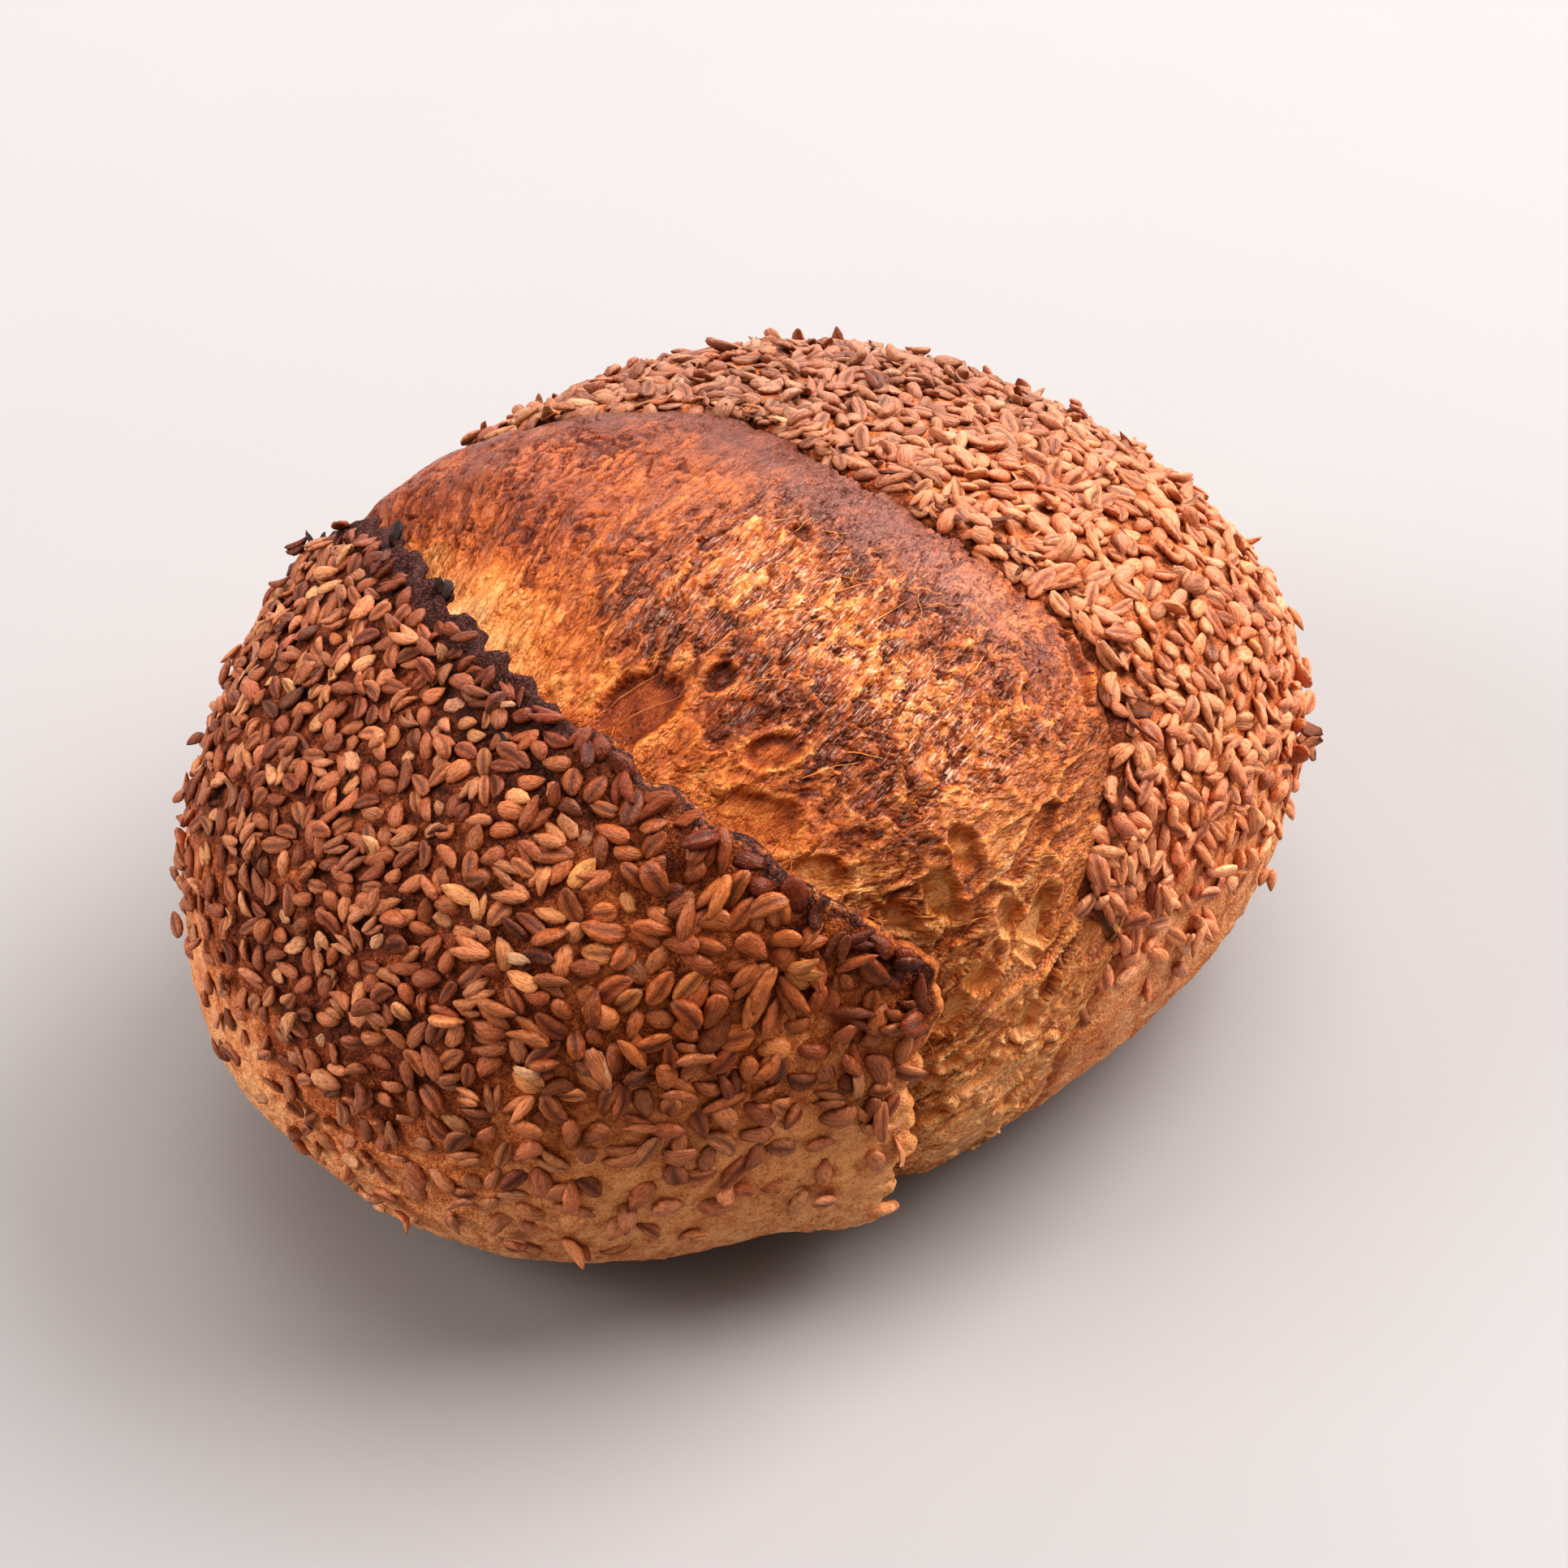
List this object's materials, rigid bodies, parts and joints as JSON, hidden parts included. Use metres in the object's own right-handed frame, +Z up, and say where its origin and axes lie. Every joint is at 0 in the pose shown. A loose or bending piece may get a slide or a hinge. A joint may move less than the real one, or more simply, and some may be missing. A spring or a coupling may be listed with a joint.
{
  "type": "seeded sourdough loaf",
  "caption": "Oval hearth loaf with one curved slash that opened into a lifted crust ear and a torn bloom, with seeds stuck to the crust on both sides.",
  "frame": {"origin": "middle of the flat base, on the surface the loaf rests on", "axes": "+Z up, +X along the loaf from the slashed cap with the ear to the plain seeded cap, -Y the side where the slash runs down to the base"},
  "size_m": [0.1833, 0.1431, 0.0948],
  "materials": {
    "crust": "matt brown baked crust with brown seeds, charred along the ear, with a satin golden bloom"
  },
  "bodies": {
    "root": {"loaf": "crust"}
  },
  "joints": []
}
